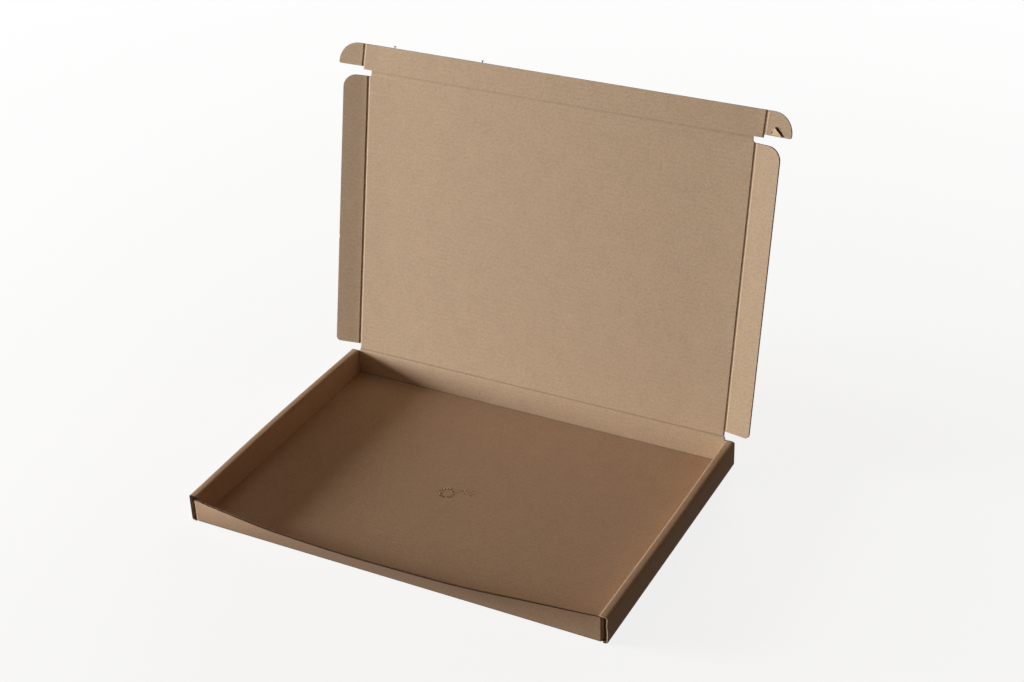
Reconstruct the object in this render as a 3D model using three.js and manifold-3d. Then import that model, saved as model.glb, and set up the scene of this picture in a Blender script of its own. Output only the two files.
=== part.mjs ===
// Flat postal box, die-cut from one sheet of thin corrugated board and folded: a shallow tray with rolled side
// walls, and a lid with a tuck flap, two ears and two side wings, standing open.
// Millimetres, +Z up, +X to the right, the open front towards -Y. The origin is the middle of the tray's underside.
import * as THREE from "three";
import { mergeVertices } from "three/addons/utils/BufferGeometryUtils.js";
import Module from "manifold-3d";

// The board and its folds
const BOARD = 1.5;
const FOLD_RADIUS_INSIDE = 0.35;
const ROLLED_STRIP_THICKNESS = 1.1;
const FOLD_STEPS = 5;
const CORNER_STEPS = 8;

// The tray
const OUTER_WIDTH = 340;
const OUTER_DEPTH = 233;
const SIDE_WALL_HEIGHT = 22.8;
const FRONT_WALL_HEIGHT = 21.4;
const SIDE_PANEL_SETBACK = 0.6;
const EAR_SLOT_WIDTH = 2.3;
const LAYER_GAP = 0.25;
const CUT_GAP = 0.4;
const CORNER_TAB_LENGTH = 52;
const CORNER_TAB_TAPER = 2.5;
const LOCK_TAB_WIDTH = 32;
const LOCK_TAB_SPACING = 118;
const LOCK_SLOT_CLEARANCE = 0.35;
const LOCK_TAB_RECESS = 0.3;

// The lid, as it stands open
const LID_LEAN_DEG = 11.4;
const TUCK_BACK_DEG = 6.5;
const WING_FORWARD_DEG = 5;
const EAR_FORWARD_DEG = 5;
const CREASE_GAP = 0.5;
const WING_WIDTH = 20.9;
const WING_SIDE_CLEARANCE = 0.4;
const WING_TOP_RADIUS = 10.5;
const WING_FOOT_RADIUS = 3.5;
const WING_FOOT_SETBACK = 4.5;
const TUCK_HEIGHT = 20.6;
const TUCK_FRONT_CLEARANCE = 0.9;
const RELIEF_HEIGHT = 4;
const RELIEF_DEPTH = 2;
const LID_LIFT_CLEARANCE = 0.15;

// The ears on the tuck flap's ends
const EAR_WIDTH = 20.8;
const EAR_SLOT_CLEARANCE = 0.35;
const EAR_TOP_FLAT = 5.2;
const EAR_FOOT_CLEARANCE = 0.15;
const EAR_CURVE_FOOT = 1.8;
const EAR_TIP_RADIUS = 1.5;
const EAR_TEAR_FROM_CREASE = 5;
const EAR_TEAR_HEIGHT = 9.5;
const EAR_TEAR_LENGTH = 9;
const EAR_TEAR_WIDTH = 0.6;

const KRAFT_LINER = 0xa88a66;
const KRAFT_ROUGHNESS = 0.9;

const wasm = await Module();
wasm.setup();

const radians = THREE.MathUtils.degToRad;

// Places worked out from the sizes above
const halfWidth = OUTER_WIDTH / 2;
const halfDepth = OUTER_DEPTH / 2;
const outerRadius = FOLD_RADIUS_INSIDE + BOARD;
const sidePanelInside = halfWidth - BOARD;
const cornerTabOutside = sidePanelInside - EAR_SLOT_WIDTH;
const cornerTabInside = cornerTabOutside - BOARD;
const innerPanelOutside = cornerTabInside - LAYER_GAP;
const innerPanelInside = innerPanelOutside - BOARD;
const stripUnderside = SIDE_WALL_HEIGHT - ROLLED_STRIP_THICKNESS;
const innerPanelFoot = BOARD + LAYER_GAP;
const sidePanelEnd = halfDepth - SIDE_PANEL_SETBACK;
const innerPanelEnd = halfDepth - BOARD - CUT_GAP;
const wingCrease = innerPanelInside - WING_SIDE_CLEARANCE - BOARD / 2;
const earCrease = sidePanelInside - EAR_SLOT_CLEARANCE - BOARD / 2;
const wingSag = (halfWidth - wingCrease) * Math.tan(radians(WING_FORWARD_DEG));
const hingeHeight = SIDE_WALL_HEIGHT + wingSag + LID_LIFT_CLEARANCE + BOARD / 2;
const hingeY = halfDepth - BOARD / 2;
const lidLength = hingeY + halfDepth + TUCK_FRONT_CLEARANCE + BOARD / 2;
const earFoot = hingeHeight - stripUnderside + EAR_FOOT_CLEARANCE;
const wingHead = lidLength - RELIEF_HEIGHT - LAYER_GAP;

// Rounds the corners of an outline: each point is [a, b] or [a, b, radius].
function filleted(points, steps) {
  const outline = [];
  points.forEach(([a, b, radius], index) => {
    const corner = new THREE.Vector2(a, b);
    if (!radius) {
      outline.push(corner);
      return;
    }
    const [beforeA, beforeB] = points[(index + points.length - 1) % points.length];
    const [afterA, afterB] = points[(index + 1) % points.length];
    const toBefore = new THREE.Vector2(beforeA, beforeB).sub(corner).normalize();
    const toAfter = new THREE.Vector2(afterA, afterB).sub(corner).normalize();
    const halfAngle = Math.acos(THREE.MathUtils.clamp(toBefore.dot(toAfter), -1, 1)) / 2;
    const middle = toBefore.clone().add(toAfter).normalize();
    const centre = corner.clone().addScaledVector(middle, radius / Math.sin(halfAngle));
    const start = corner.clone().addScaledVector(toBefore, radius / Math.tan(halfAngle)).sub(centre);
    const turn = (Math.PI - 2 * halfAngle) * Math.sign(toBefore.cross(toAfter)) * -1;
    for (let step = 0; step <= steps; step++) {
      outline.push(start.clone().rotateAround(new THREE.Vector2(), (turn * step) / steps).add(centre));
    }
  });
  return outline;
}

// The section of a sheet that follows a folded line: its outer line out and its inner line back.
function foldedSection(outerLine, innerLine) {
  const outer = filleted(outerLine.map(([a, b, folded]) => [a, b, folded ? outerRadius : 0]), FOLD_STEPS);
  const inner = filleted(innerLine.map(([a, b, folded]) => [a, b, folded ? FOLD_RADIUS_INSIDE : 0]), FOLD_STEPS);
  return [...outer, ...inner.reverse()];
}

// The section of a flat panel from one end to the other, round at the ends that meet a crease.
function panelSection(start, end, roundStart, roundEnd) {
  const half = BOARD / 2;
  const roundEndPoints = (centre, side) => {
    const arc = [];
    for (let step = 0; step <= 2 * FOLD_STEPS; step++) {
      const angle = (Math.PI * step) / (2 * FOLD_STEPS) - Math.PI / 2;
      arc.push(new THREE.Vector2(centre + side * half * Math.cos(angle), side * half * Math.sin(angle)));
    }
    return arc;
  };
  const squareEndPoints = (place, side) => [
    new THREE.Vector2(place, -side * half),
    new THREE.Vector2(place, side * half),
  ];
  return [
    ...(roundEnd ? roundEndPoints(end - half, 1) : squareEndPoints(end, 1)),
    ...(roundStart ? roundEndPoints(start + half, -1) : squareEndPoints(start, -1)),
  ];
}

// A solid from an outline drawn in one plane ("xy", "yz" or "xz") and drawn out along the third axis.
function prism(plane, outline, from, to) {
  const geometry = new THREE.ExtrudeGeometry(new THREE.Shape(outline), {
    depth: to - from,
    bevelEnabled: false,
  });
  const x = new THREE.Vector3(1, 0, 0);
  const y = new THREE.Vector3(0, 1, 0);
  const z = new THREE.Vector3(0, 0, 1);
  const place = new THREE.Matrix4();
  if (plane === "xy") place.makeTranslation(0, 0, from);
  if (plane === "yz") place.makeBasis(y, z, x).setPosition(from, 0, 0);
  if (plane === "xz") place.makeBasis(x, z, y.negate()).setPosition(0, to, 0);
  geometry.applyMatrix4(place);
  geometry.deleteAttribute("normal");
  geometry.deleteAttribute("uv");
  const merged = mergeVertices(geometry, 1e-4);
  return new wasm.Manifold(
    new wasm.Mesh({
      numProp: 3,
      vertProperties: merged.getAttribute("position").array,
      triVerts: new Uint32Array(merged.index.array),
    }),
  );
}

// A straight block between two corners.
function block(low, high) {
  const outline = [
    new THREE.Vector2(low[0], low[1]),
    new THREE.Vector2(high[0], low[1]),
    new THREE.Vector2(high[0], high[1]),
    new THREE.Vector2(low[0], high[1]),
  ];
  return prism("xy", outline, low[2], high[2]);
}

// The solid on the other side of the plane through the origin across one axis (0 is x, 1 is y).
function mirrored(solid, axis) {
  const mesh = solid.getMesh();
  const vertProperties = mesh.vertProperties.map((value, index) => (index % 3 === axis ? -value : value));
  const triVerts = mesh.triVerts.slice().reverse();
  return new wasm.Manifold(new wasm.Mesh({ numProp: 3, vertProperties, triVerts }));
}

function boardMaterial() {
  return new THREE.MeshStandardMaterial({
    color: KRAFT_LINER,
    roughness: KRAFT_ROUGHNESS,
    metalness: 0,
    flatShading: true,
  });
}

function namedMesh(name, solid) {
  const mesh = solid.getMesh();
  const geometry = new THREE.BufferGeometry();
  geometry.setAttribute("position", new THREE.BufferAttribute(new Float32Array(mesh.vertProperties), 3));
  geometry.setIndex(new THREE.BufferAttribute(new Uint32Array(mesh.triVerts), 1));
  const shown = new THREE.Mesh(geometry, boardMaterial());
  shown.name = name;
  return shown;
}

// The base with both rolled side walls: up the outside, over the top and down the inside, in one sheet.
function baseAndSideWalls() {
  const outerLine = [
    [-innerPanelInside, innerPanelFoot],
    [-innerPanelInside, SIDE_WALL_HEIGHT, true],
    [-halfWidth, SIDE_WALL_HEIGHT, true],
    [-halfWidth, 0, true],
    [halfWidth, 0, true],
    [halfWidth, SIDE_WALL_HEIGHT, true],
    [innerPanelInside, SIDE_WALL_HEIGHT, true],
    [innerPanelInside, innerPanelFoot],
  ];
  const innerLine = [
    [-innerPanelOutside, innerPanelFoot],
    [-innerPanelOutside, stripUnderside, true],
    [-sidePanelInside, stripUnderside, true],
    [-sidePanelInside, BOARD, true],
    [sidePanelInside, BOARD, true],
    [sidePanelInside, stripUnderside, true],
    [innerPanelOutside, stripUnderside, true],
    [innerPanelOutside, innerPanelFoot],
  ];
  let sheet = prism("xz", foldedSection(outerLine, innerLine), -sidePanelEnd, sidePanelEnd);

  // The base ends where the front and rear folds start
  const foldStart = halfDepth - outerRadius;
  for (const [near, far] of [[-halfDepth - 1, -foldStart], [foldStart, halfDepth + 1]]) {
    sheet = sheet.subtract(block([-cornerTabOutside, near, -1], [cornerTabOutside, far, innerPanelFoot]));
  }

  // The inner panels stop short of the front and rear walls, and the rolled strips short of the rear wall
  for (const side of [-1, 1]) {
    const strip = [side * (innerPanelInside - 1), side * (sidePanelInside - LAYER_GAP)].sort((a, b) => a - b);
    const panel = [side * (innerPanelInside - 1), side * (innerPanelOutside + LAYER_GAP)].sort((a, b) => a - b);
    sheet = sheet.subtract(
      block([strip[0], innerPanelEnd, innerPanelFoot - 0.1], [strip[1], halfDepth, SIDE_WALL_HEIGHT + 1]),
    );
    sheet = sheet.subtract(
      block([panel[0], -halfDepth, innerPanelFoot - 0.1], [panel[1], -innerPanelEnd, stripUnderside]),
    );
  }
  return lockTabs(sheet);
}

// The lock tabs on the foot of each inner panel, standing in slots through the base.
function lockTabs(sheet) {
  let locked = sheet;
  for (const side of [-1, 1]) {
    for (const place of [-LOCK_TAB_SPACING / 2, LOCK_TAB_SPACING / 2]) {
      const across = [side * innerPanelInside, side * innerPanelOutside].sort((a, b) => a - b);
      const along = [place - LOCK_TAB_WIDTH / 2, place + LOCK_TAB_WIDTH / 2];
      const slot = block(
        [across[0] - LOCK_SLOT_CLEARANCE, along[0] - LOCK_SLOT_CLEARANCE, -1],
        [across[1] + LOCK_SLOT_CLEARANCE, along[1] + LOCK_SLOT_CLEARANCE, BOARD],
      );
      const tab = block([across[0], along[0], LOCK_TAB_RECESS], [across[1], along[1], innerPanelFoot + BOARD]);
      locked = locked.subtract(slot).add(tab);
    }
  }
  return locked;
}

// The front or rear wall in plan, with its corner tabs folded back inside the rolled walls.
function wallWithCornerTabs(height) {
  const tabEnd = -halfDepth + CORNER_TAB_LENGTH;
  const outerLine = [
    [-cornerTabOutside, tabEnd],
    [-cornerTabOutside, -halfDepth, true],
    [cornerTabOutside, -halfDepth, true],
    [cornerTabOutside, tabEnd],
  ];
  const innerLine = [
    [-cornerTabInside, tabEnd],
    [-cornerTabInside, -halfDepth + BOARD, true],
    [cornerTabInside, -halfDepth + BOARD, true],
    [cornerTabInside, tabEnd],
  ];
  const standing = prism("xy", foldedSection(outerLine, innerLine), outerRadius, height);

  // The tabs narrow towards their ends
  const taper = filleted(
    [
      [-halfDepth - 1, outerRadius - 1],
      [-halfDepth + outerRadius, outerRadius - 1],
      [-halfDepth + outerRadius, outerRadius + LAYER_GAP],
      [tabEnd, outerRadius + CORNER_TAB_TAPER, CORNER_TAB_TAPER],
      [tabEnd, height - CORNER_TAB_TAPER, CORNER_TAB_TAPER],
      [-halfDepth + outerRadius, height],
      [-halfDepth - 1, height],
    ],
    CORNER_STEPS,
  );
  const shaped = standing.intersect(prism("yz", taper, -halfWidth, halfWidth));

  // The fold that joins the wall to the base
  const foldTop = outerRadius + BOARD;
  const fold = foldedSection(
    [
      [-halfDepth, foldTop],
      [-halfDepth, 0, true],
      [-halfDepth + 2 * outerRadius, 0],
    ],
    [
      [-halfDepth + BOARD, foldTop],
      [-halfDepth + BOARD, BOARD, true],
      [-halfDepth + 2 * outerRadius, BOARD],
    ],
  );
  const foldReach = cornerTabOutside - outerRadius;
  return shaped.add(prism("yz", fold, -foldReach, foldReach));
}

// The rear wall rises between the corner folds to the hinge crease, with a round edge there.
function hingeEdge() {
  const section = panelSection(FRONT_WALL_HEIGHT - BOARD, hingeHeight - CREASE_GAP, false, true);
  const upright = section.map((point) => new THREE.Vector2(hingeY + point.y, point.x));
  return prism("yz", upright, -wingCrease, wingCrease);
}

function tray() {
  const wall = wallWithCornerTabs(FRONT_WALL_HEIGHT);
  const solid = baseAndSideWalls()
    .add(wall)
    .add(mirrored(wall, 1))
    .add(hingeEdge());
  return namedMesh("tray", solid);
}

// A flat panel standing in the x-z plane, seen as its outline there, with round crease edges cut from two sections.
function panel(outline, acrossSection, uprightSection) {
  const reach = OUTER_WIDTH + OUTER_DEPTH;
  const across = prism("xy", acrossSection, -reach, reach);
  const upright = prism(
    "yz",
    uprightSection.map((point) => new THREE.Vector2(point.y, point.x)),
    -reach,
    reach,
  );
  return prism("xz", outline, -BOARD, BOARD).intersect(across).intersect(upright);
}

// The lid's own panel, with the round-ended reliefs between the wings and the tuck flap.
function lidPanel() {
  const edge = wingCrease - CREASE_GAP;
  const outline = filleted(
    [
      [-edge, 0],
      [edge, 0],
      [edge, lidLength - RELIEF_HEIGHT],
      [edge - RELIEF_DEPTH, lidLength - RELIEF_HEIGHT, RELIEF_HEIGHT / 2 - CREASE_GAP],
      [edge - RELIEF_DEPTH, lidLength],
      [RELIEF_DEPTH - edge, lidLength],
      [RELIEF_DEPTH - edge, lidLength - RELIEF_HEIGHT, RELIEF_HEIGHT / 2 - CREASE_GAP],
      [-edge, lidLength - RELIEF_HEIGHT],
    ],
    CORNER_STEPS,
  );
  const solid = panel(
    outline,
    panelSection(-edge, edge, true, true),
    panelSection(CREASE_GAP, lidLength - CREASE_GAP, true, true),
  );
  return namedMesh("lid_panel", solid);
}

function tuckFlap() {
  const edge = earCrease - CREASE_GAP;
  const outline = filleted([[-edge, 0], [edge, 0], [edge, TUCK_HEIGHT], [-edge, TUCK_HEIGHT]], CORNER_STEPS);
  const solid = panel(
    outline,
    panelSection(-edge, edge, true, true),
    panelSection(CREASE_GAP, TUCK_HEIGHT, true, false),
  );
  return namedMesh("tuck_flap", solid);
}

// An ear to the right of its crease: a flat top, a long quarter-oval and a straight foot. The torn one has the slit
// of a small tongue near its crease.
function ear(name, side, torn) {
  const curveFoot = earFoot + EAR_CURVE_FOOT;
  const curve = new THREE.EllipseCurve(
    EAR_TOP_FLAT,
    curveFoot,
    EAR_WIDTH - EAR_TOP_FLAT,
    TUCK_HEIGHT - curveFoot,
    0,
    Math.PI / 2,
  );
  const oval = curve.getPoints(2 * CORNER_STEPS).map((point) => [point.x, point.y]);
  const outline = filleted(
    [[0, earFoot], [EAR_WIDTH, earFoot, EAR_TIP_RADIUS], ...oval, [0, TUCK_HEIGHT]],
    CORNER_STEPS,
  );
  let solid = panel(
    outline,
    panelSection(CREASE_GAP, EAR_WIDTH + BOARD, true, false),
    panelSection(0, TUCK_HEIGHT, false, false),
  );
  if (torn) {
    const slit = [
      new THREE.Vector2(EAR_TEAR_FROM_CREASE, EAR_TEAR_HEIGHT),
      new THREE.Vector2(EAR_TEAR_FROM_CREASE + EAR_TEAR_LENGTH / 2, EAR_TEAR_HEIGHT - EAR_TEAR_LENGTH / 2),
      new THREE.Vector2(
        EAR_TEAR_FROM_CREASE + EAR_TEAR_LENGTH / 2 + EAR_TEAR_WIDTH,
        EAR_TEAR_HEIGHT - EAR_TEAR_LENGTH / 2,
      ),
      new THREE.Vector2(EAR_TEAR_FROM_CREASE + EAR_TEAR_WIDTH, EAR_TEAR_HEIGHT + EAR_TEAR_WIDTH),
    ];
    solid = solid.subtract(prism("xz", slit, -BOARD, BOARD));
  }
  return namedMesh(name, side > 0 ? solid : mirrored(solid, 0));
}

// A wing to the right of its crease, round at the head and slightly at the foot.
function wing(name, side) {
  const outline = filleted(
    [
      [0, WING_FOOT_SETBACK],
      [WING_WIDTH, WING_FOOT_SETBACK, WING_FOOT_RADIUS],
      [WING_WIDTH, wingHead, WING_TOP_RADIUS],
      [0, wingHead],
    ],
    CORNER_STEPS,
  );
  const solid = panel(
    outline,
    panelSection(CREASE_GAP, WING_WIDTH, true, false),
    panelSection(0, lidLength, false, false),
  );
  return namedMesh(name, side > 0 ? solid : mirrored(solid, 0));
}

// The tuck flap and its ears, in a frame on the lid's far crease.
function tuckFlapGroup() {
  const group = new THREE.Group();
  group.position.set(0, 0, lidLength);
  group.rotation.x = -radians(TUCK_BACK_DEG);
  group.add(tuckFlap());
  for (const [name, side] of [["tuck_ear_left", -1], ["tuck_ear_right", 1]]) {
    const hinged = new THREE.Group();
    hinged.position.set(side * earCrease, 0, 0);
    hinged.rotation.z = -side * radians(EAR_FORWARD_DEG);
    hinged.add(ear(name, side, side > 0));
    group.add(hinged);
  }
  return group;
}

// The lid and everything on it, in a frame on the hinge crease.
function lidGroup() {
  const group = new THREE.Group();
  group.position.set(0, hingeY, hingeHeight);
  group.rotation.x = -radians(LID_LEAN_DEG);
  group.add(lidPanel());
  for (const [name, side] of [["lid_wing_left", -1], ["lid_wing_right", 1]]) {
    const hinged = new THREE.Group();
    hinged.position.set(side * wingCrease, 0, 0);
    hinged.rotation.z = -side * radians(WING_FORWARD_DEG);
    hinged.add(wing(name, side));
    group.add(hinged);
  }
  group.add(tuckFlapGroup());
  return group;
}

const postalBox = new THREE.Group();
postalBox.add(tray());
postalBox.add(lidGroup());

export default postalBox;
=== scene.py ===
"""A flat postal box of thin corrugated kraft board, standing open: a shallow tray with rolled side walls, and a
lid with a tuck flap, two ears and two side wings. Every panel is a grid along the middle of the board, and one
geometry node tree gives it its two liners and the fluting between them."""
import math

import bmesh
import bpy
import numpy as np
from mathutils import Matrix, Vector


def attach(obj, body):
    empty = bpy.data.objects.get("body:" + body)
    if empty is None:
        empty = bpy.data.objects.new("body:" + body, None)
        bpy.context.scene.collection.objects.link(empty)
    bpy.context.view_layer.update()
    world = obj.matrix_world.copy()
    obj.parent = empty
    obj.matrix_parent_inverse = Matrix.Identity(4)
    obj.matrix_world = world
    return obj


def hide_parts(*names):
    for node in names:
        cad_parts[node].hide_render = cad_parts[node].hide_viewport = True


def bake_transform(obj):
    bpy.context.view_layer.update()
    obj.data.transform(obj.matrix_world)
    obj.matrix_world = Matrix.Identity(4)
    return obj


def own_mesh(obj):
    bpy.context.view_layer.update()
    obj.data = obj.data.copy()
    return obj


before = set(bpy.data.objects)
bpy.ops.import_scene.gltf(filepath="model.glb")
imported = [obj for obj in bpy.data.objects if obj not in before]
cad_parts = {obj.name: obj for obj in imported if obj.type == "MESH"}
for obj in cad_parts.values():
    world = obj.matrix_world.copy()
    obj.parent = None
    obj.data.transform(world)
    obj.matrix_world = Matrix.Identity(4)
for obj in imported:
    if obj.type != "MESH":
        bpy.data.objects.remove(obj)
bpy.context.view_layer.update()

MM = 0.001

# The board, in millimetres
BOARD = 1.5
CAP_BOARD = 1.1
CREASE_BOARD = 0.75
LINER = 0.22
MEDIUM = 0.2
FLUTE_PITCH = 3.6
LINER_SAG = 0.03
SHARP_ANGLE = math.radians(35)

# The box, in millimetres and degrees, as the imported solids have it
HALF_WIDTH = 170.0
HALF_DEPTH = 116.5
SIDE_HEIGHT = 22.8
FRONT_HEIGHT = 21.4
SIDE_PANEL_END = 115.9
INNER_PANEL_END = 114.6
OUTER_PANEL = 169.25
CORNER_TAB = 165.45
INNER_PANEL = 163.7
INNER_PANEL_FOOT = 1.75
FOLD = 1.1
TAB_REACH = 52.0
LOCK_TAB_CENTRE = 59.0
LOCK_TAB_HALF = 16.0
LOCK_SLOT_CLEARANCE = 0.35
WING_CREASE = 161.8
EAR_CREASE = 167.4
HINGE_Y = 115.75
HINGE_Z = 24.417
LID_LENGTH = 233.9
TUCK_HEIGHT = 20.6
WING_WIDTH = 20.9
WING_FOOT = 4.5
WING_HEAD = LID_LENGTH - 4.25
WING_HEAD_RADIUS = 10.5
WING_FOOT_RADIUS = 3.5
EAR_WIDTH = 20.8
EAR_FOOT = 2.87
EAR_TIP_RADIUS = 1.5
EAR_TOP_FLAT = 5.2
CREASE_GAP = 0.5
RELIEF_HEIGHT = 4.0
RELIEF_DEPTH = 2.0
LID_LEAN = math.radians(11.4)
TUCK_BACK = math.radians(6.5)

# From the photograph: the ears' and wings' turn forward (5 degrees in the solids) and the left wing's jag
EAR_FORWARD = math.radians(6.0)
WING_FORWARD = math.radians(12.0)
JAG_PLACE = 95.0
JAG_DEPTH = 0.4
JAG_REACH = 1.1


def hex_colour(code):
    """An sRGB hex value as the linear colour that a shader's socket takes."""
    channels = [int(code[i : i + 2], 16) / 255 for i in (1, 3, 5)]
    linear = [c / 12.92 if c <= 0.04045 else ((c + 0.055) / 1.055) ** 2.4 for c in channels]
    return (*linear, 1.0)


def add_node(tree, kind, inputs=None, **settings):
    """Adds a node, sets its properties, and fills or links its inputs by name or number."""
    node = tree.nodes.new(kind)
    for key, value in settings.items():
        setattr(node, key, value)
    for key, value in (inputs or {}).items():
        if isinstance(value, bpy.types.NodeSocket):
            tree.links.new(value, node.inputs[key])
        else:
            node.inputs[key].default_value = value
    return node


def add_object(name, data):
    """Puts an object with this mesh, lamp or camera in the scene."""
    made = bpy.data.objects.new(name, data)
    bpy.context.scene.collection.objects.link(made)
    return made


# The camera, from a fit to the corners and creases of the photographed box
CAMERA_TARGET = Vector((-24.49, 126.70, 58.3)) * MM
CAMERA_DISTANCE = 1470.0 * MM
CAMERA_AZIMUTH = math.radians(28.205)
CAMERA_ELEVATION = math.radians(30.572)
CAMERA_ROLL = math.radians(-2.164)
FOCAL_PIXELS = 1844.2
IMAGE_WIDTH = 1024
SENSOR_WIDTH = 36.0


def make_camera():
    """Sets the camera where the fit puts it, rolled a little as the photograph is."""
    back = Vector(
        (
            math.sin(CAMERA_AZIMUTH) * math.cos(CAMERA_ELEVATION),
            -math.cos(CAMERA_AZIMUTH) * math.cos(CAMERA_ELEVATION),
            math.sin(CAMERA_ELEVATION),
        )
    )
    level = Vector((0, 0, 1)).cross(back).normalized()
    upright = back.cross(level)
    right = level * math.cos(CAMERA_ROLL) + upright * math.sin(CAMERA_ROLL)
    up = upright * math.cos(CAMERA_ROLL) - level * math.sin(CAMERA_ROLL)
    camera = add_object("camera", bpy.data.cameras.new("camera"))
    camera.matrix_world = Matrix((right, up, back)).transposed().to_4x4()
    camera.matrix_world.translation = CAMERA_TARGET + back * CAMERA_DISTANCE
    camera.data.sensor_width = SENSOR_WIDTH
    camera.data.lens = FOCAL_PIXELS * SENSOR_WIDTH / IMAGE_WIDTH
    camera.data.clip_start = 0.05
    camera.data.clip_end = 30
    bpy.context.scene.camera = camera


make_camera()


# Materials

# The share of the liner's tone that the painted shade of the washboard ripple takes
WASHBOARD_SHADE = 0.012

# The liner's noises: a patch's size along and across the flutes (mm), shift, detail, roughness, tone share
LINER_NOISES = {
    "clouds": (16, 22, 0.0, 3.0, 0.6, 0.14),
    "fibres": (0.45, 1.6, 3.1, 4.0, 0.7, 0.6),
    "grain": (1.7, 1.1, 7.7, 2.0, 0.6, 0.5),
}

# The liner's specks: their cells' size in mm, radius in cells, the lot a cell has to beat, colour and shift
LINER_SPECKS = (
    (12.0, 0.036, 0.66, "#4a331f", 1.3),
    (7.5, 0.042, 0.66, "#dcc5a0", 5.9),
    (26.0, 0.022, 0.5, "#20140b", 9.2),
)
SPECK_STRENGTH = 0.75
SPECK_CORE = 0.4


def new_material(name):
    """An empty material, and its node tree."""
    material = bpy.data.materials.new(name)
    material.use_nodes = True
    material.node_tree.nodes.clear()
    return material, material.node_tree


def paper_surface(tree, colour, height, strength, depth, roughness, ior):
    """Ends a paper's tree in a matte surface, made rough by a height of a depth in mm."""
    bump = add_node(tree, "ShaderNodeBump", {"Height": height, "Strength": strength, "Distance": depth * MM})
    surface = add_node(
        tree,
        "ShaderNodeBsdfPrincipled",
        {"Base Color": colour, "Roughness": roughness, "IOR": ior, "Normal": bump.outputs["Normal"]},
    )
    add_node(tree, "ShaderNodeOutputMaterial", {"Surface": surface.outputs["BSDF"]})


def kraft_liner(name, base):
    """Uncoated recycled kraft liner, rolled wet on a paper machine: matte, with short fibres along the machine
    direction, a cloudy tone and a few dark and pale specks. Over the fluting it takes faint bands of painted
    shade."""
    material, tree = new_material(name)
    sheet = add_node(tree, "ShaderNodeUVMap", uv_map="board").outputs["UV"]

    # The tone of each spot, as a factor around 1
    tone = 1.0
    noises = {}
    for kind, (along, across, shift, detail, roughness, amount) in LINER_NOISES.items():
        scale = (1 / (along * MM), 1 / (across * MM), 1.0)
        place = add_node(tree, "ShaderNodeMapping", {"Vector": sheet, "Scale": scale, "Location": (shift,) * 3})
        noises[kind] = add_node(
            tree,
            "ShaderNodeTexNoise",
            {"Vector": place.outputs["Vector"], "Scale": 1.0, "Detail": detail, "Roughness": roughness},
        ).outputs["Fac"]
        centred = add_node(tree, "ShaderNodeMath", {0: noises[kind], 1: -0.5}, operation="ADD").outputs[0]
        terms = {0: centred, 1: amount, 2: tone}
        tone = add_node(tree, "ShaderNodeMath", terms, operation="MULTIPLY_ADD").outputs[0]

    # Painted shade of the liner's washboard ripple over the flutes: one full wave for each flute
    across = add_node(tree, "ShaderNodeSeparateXYZ", {0: sheet}).outputs["Y"]
    wave = 2 * math.pi / (FLUTE_PITCH * MM)
    turns = add_node(tree, "ShaderNodeMath", {0: across, 1: wave}, operation="MULTIPLY").outputs[0]
    ripple_shade = add_node(tree, "ShaderNodeMath", {0: turns}, operation="SINE").outputs[0]
    terms = {0: ripple_shade, 1: WASHBOARD_SHADE, 2: tone}
    tone = add_node(tree, "ShaderNodeMath", terms, operation="MULTIPLY_ADD").outputs[0]

    # The tone that stays on the mesh as an attribute: the creases' rub with painted shade in their grooves and
    # a painted highlight on their ridges, and painted shade at the folds and on the side walls' outer faces
    shade_and_rub = add_node(tree, "ShaderNodeAttribute", attribute_name="rub_and_painted_shade").outputs["Fac"]
    tone = add_node(tree, "ShaderNodeMath", {0: tone, 1: shade_and_rub}, operation="ADD").outputs[0]
    colour = add_node(
        tree, "ShaderNodeVectorMath", {0: hex_colour(base)[:3], "Scale": tone}, operation="SCALE"
    ).outputs["Vector"]

    # Specks of bark and shives, one in some of the cells
    for cell, radius, lot, shade, shift in LINER_SPECKS:
        scale = (1 / (cell * MM), 1 / (cell * MM), 1.0)
        place = add_node(tree, "ShaderNodeMapping", {"Vector": sheet, "Scale": scale, "Location": (shift,) * 3})
        cells = add_node(
            tree, "ShaderNodeTexVoronoi", {"Vector": place.outputs["Vector"], "Scale": 1.0, "Randomness": 1.0}
        ).outputs
        drawn = add_node(tree, "ShaderNodeSeparateColor", {0: cells["Color"]}).outputs[0]
        chosen = add_node(tree, "ShaderNodeMath", {0: drawn, 1: lot}, operation="GREATER_THAN").outputs[0]
        fade = {"From Min": radius * SPECK_CORE, "From Max": radius, "To Min": SPECK_STRENGTH, "To Max": 0.0}
        spot = add_node(tree, "ShaderNodeMapRange", {"Value": cells["Distance"], **fade}).outputs["Result"]
        mask = add_node(tree, "ShaderNodeMath", {0: spot, 1: chosen}, operation="MULTIPLY").outputs[0]
        colour = add_node(
            tree, "ShaderNodeMix", {"Factor": mask, "A": colour, "B": hex_colour(shade)}, data_type="RGBA"
        ).outputs["Result"]

    rough = add_node(tree, "ShaderNodeMath", {0: noises["fibres"], 1: noises["grain"]}, operation="ADD")
    paper_surface(tree, colour, rough.outputs[0], strength=0.35, depth=0.06, roughness=0.88, ior=1.45)
    return material


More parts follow.
